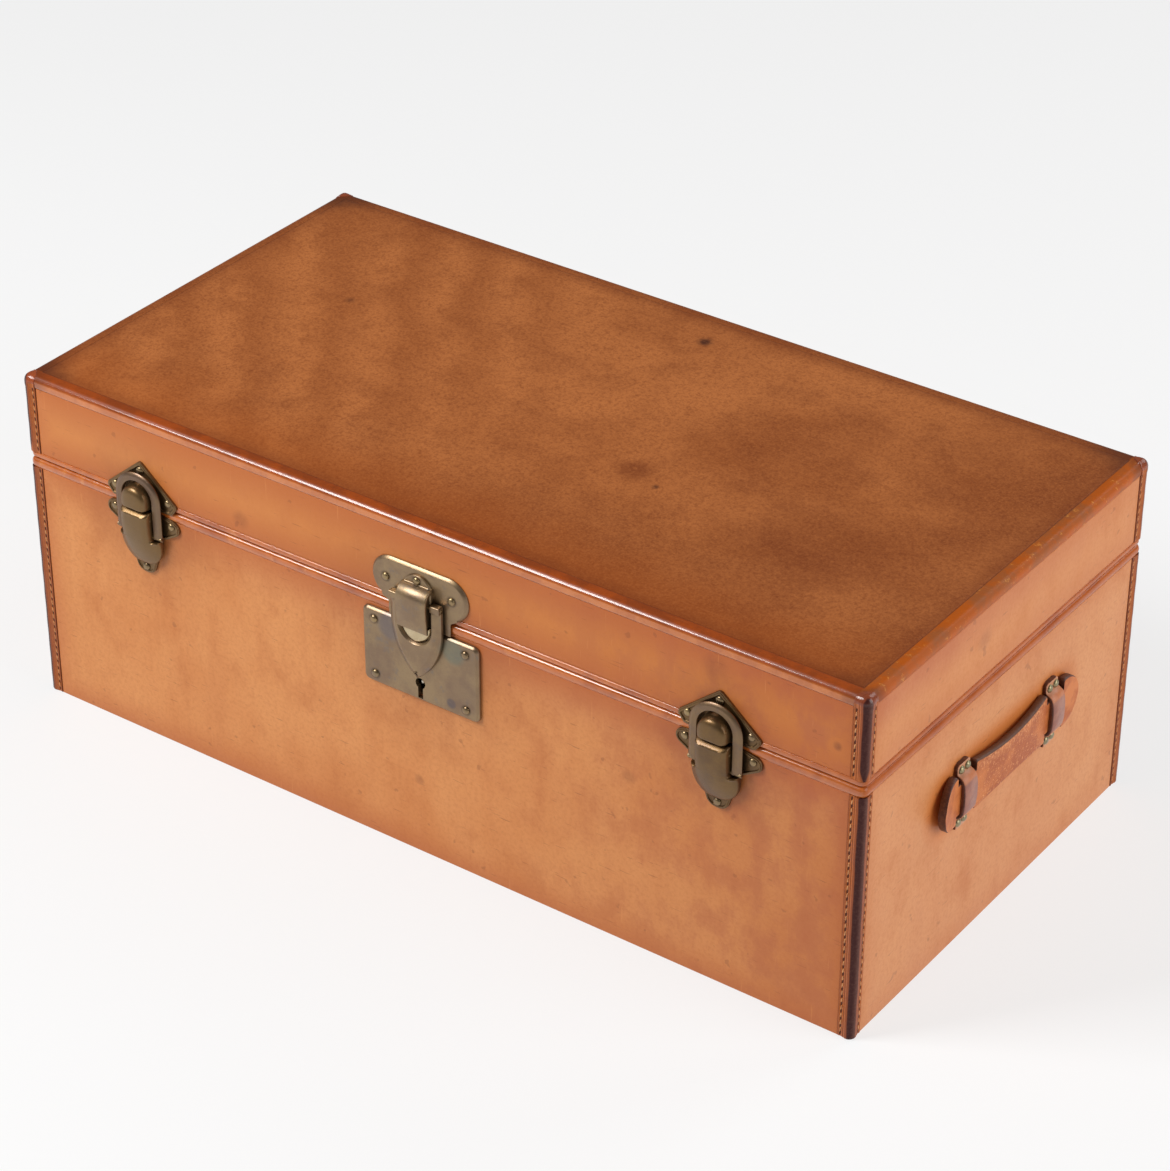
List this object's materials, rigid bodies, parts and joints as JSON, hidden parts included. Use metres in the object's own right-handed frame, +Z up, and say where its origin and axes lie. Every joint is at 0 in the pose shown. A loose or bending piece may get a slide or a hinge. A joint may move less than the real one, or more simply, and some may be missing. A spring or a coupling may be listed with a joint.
{
  "type": "leather trunk",
  "caption": "Leather travel trunk with a hinged lid, a centre hasp lock, over-centre draw latches, stitched corner welts and a leather strap handle on each end.",
  "frame": {"origin": "centre of the bottom face, on the floor", "axes": "+X along the length, towards the right end seen from the front; -Y out of the front, which has the lock and the latches; +Z up"},
  "size_m": [0.6262, 0.3299, 0.232],
  "materials": {
    "tan_leather": "waxed, worn",
    "brown_leather": "aged, polished",
    "dark_leather": "burnished",
    "pine": "planed",
    "linen": "woven",
    "steel": "worn",
    "rivet_brass": "dull",
    "aged_brass": "patinated"
  },
  "bodies": {
    "case": {"case_front_board": "pine", "case_back_board": "pine", "case_end_boards": "pine", "case_bottom_board": "pine", "case_front_leather": "tan_leather", "case_back_leather": "tan_leather", "case_end_leathers": "tan_leather", "case_bottom_leather": "brown_leather", "case_rim_bead": "brown_leather", "case_corner_welts": "dark_leather", "inner_frame": "pine", "case_lining": "linen", "lock_plate": "aged_brass", "lock_plate_nails": "aged_brass", "lock_housing": "steel", "lock_key_pin": "steel", "thumb_catch_spring": "steel", "left_latch_base": "aged_brass", "right_latch_base": "aged_brass", "latch_base_nails": "aged_brass", "latch_lever_pins": "aged_brass", "hinge_case_leaf": "aged_brass", "hinge_pin": "aged_brass", "hinge_case_nails": "aged_brass", "left_handle_keepers": "brown_leather", "right_handle_keepers": "brown_leather", "handle_rivets": "rivet_brass"},
    "lid": {"lid_top_board": "pine", "lid_front_board": "pine", "lid_back_board": "pine", "lid_end_boards": "pine", "lid_top_leather": "brown_leather", "lid_front_leather": "tan_leather", "lid_back_leather": "tan_leather", "lid_end_leathers": "tan_leather", "lid_rim_binding": "brown_leather", "lid_corner_welts": "dark_leather", "lid_lining": "linen", "lid_lock_plate": "aged_brass", "lid_lock_nails": "aged_brass", "hasp_bracket": "aged_brass", "hasp_pin": "aged_brass", "left_latch_catch": "aged_brass", "right_latch_catch": "aged_brass", "latch_catch_nails": "aged_brass", "hinge_lid_leaf": "aged_brass", "hinge_lid_nails": "aged_brass"},
    "hasp": {"hasp": "aged_brass"},
    "bolt": {"lock_bolt": "steel"},
    "thumb_catch": {"thumb_catch": "steel"},
    "left_lever": {"left_latch_lever": "aged_brass", "left_bail_pin": "aged_brass"},
    "right_lever": {"right_latch_lever": "aged_brass", "right_bail_pin": "aged_brass"},
    "left_bail": {"left_latch_bail": "aged_brass"},
    "right_bail": {"right_latch_bail": "aged_brass"},
    "left_strap": {"left_handle_strap": "brown_leather"},
    "right_strap": {"right_handle_strap": "brown_leather"}
  },
  "joints": [
    {"name": "lid_hinge", "type": "hinge", "parent": "case", "child": "lid", "pos_m": [0, 0.1591, 0.174], "axis": [-1, 0, 0], "range_deg": [0, 105]},
    {"name": "hasp_hinge", "type": "hinge", "parent": "lid", "child": "hasp", "pos_m": [0.003, -0.1615, 0.184], "axis": [-1, 0, 0], "range_deg": [0, 110]},
    {"name": "bolt_throw", "type": "slide", "parent": "case", "child": "bolt", "axis": [1, 0, 0], "range_m": [0, 0.008]},
    {"name": "thumb_press", "type": "slide", "parent": "case", "child": "thumb_catch", "axis": [0, 1, 0], "range_m": [0, 0.002], "stiffness_N_per_m": 300, "springref_m": -0.004},
    {"name": "left_lever_hinge", "type": "hinge", "parent": "case", "child": "left_lever", "pos_m": [-0.211, -0.1628, 0.1665], "axis": [-1, 0, 0], "range_deg": [0, 95]},
    {"name": "left_bail_hinge", "type": "hinge", "parent": "left_lever", "child": "left_bail", "pos_m": [-0.211, -0.1611, 0.1545], "axis": [-1, 0, 0], "range_deg": [-105, 0]},
    {"name": "right_lever_hinge", "type": "hinge", "parent": "case", "child": "right_lever", "pos_m": [0.211, -0.1628, 0.1665], "axis": [-1, 0, 0], "range_deg": [0, 95]},
    {"name": "right_bail_hinge", "type": "hinge", "parent": "right_lever", "child": "right_bail", "pos_m": [0.211, -0.1611, 0.1545], "axis": [-1, 0, 0], "range_deg": [-105, 0]},
    {"name": "left_strap_slide", "type": "slide", "parent": "case", "child": "left_strap", "axis": [0, 1, 0], "range_m": [-0.003, 0.003]},
    {"name": "right_strap_slide", "type": "slide", "parent": "case", "child": "right_strap", "axis": [0, 1, 0], "range_m": [-0.003, 0.003]}
  ],
  "couplings": [
    {"joint": "left_bail_hinge", "follows": "left_lever_hinge", "ratio": -1.1},
    {"joint": "right_bail_hinge", "follows": "right_lever_hinge", "ratio": -1.1}
  ]
}
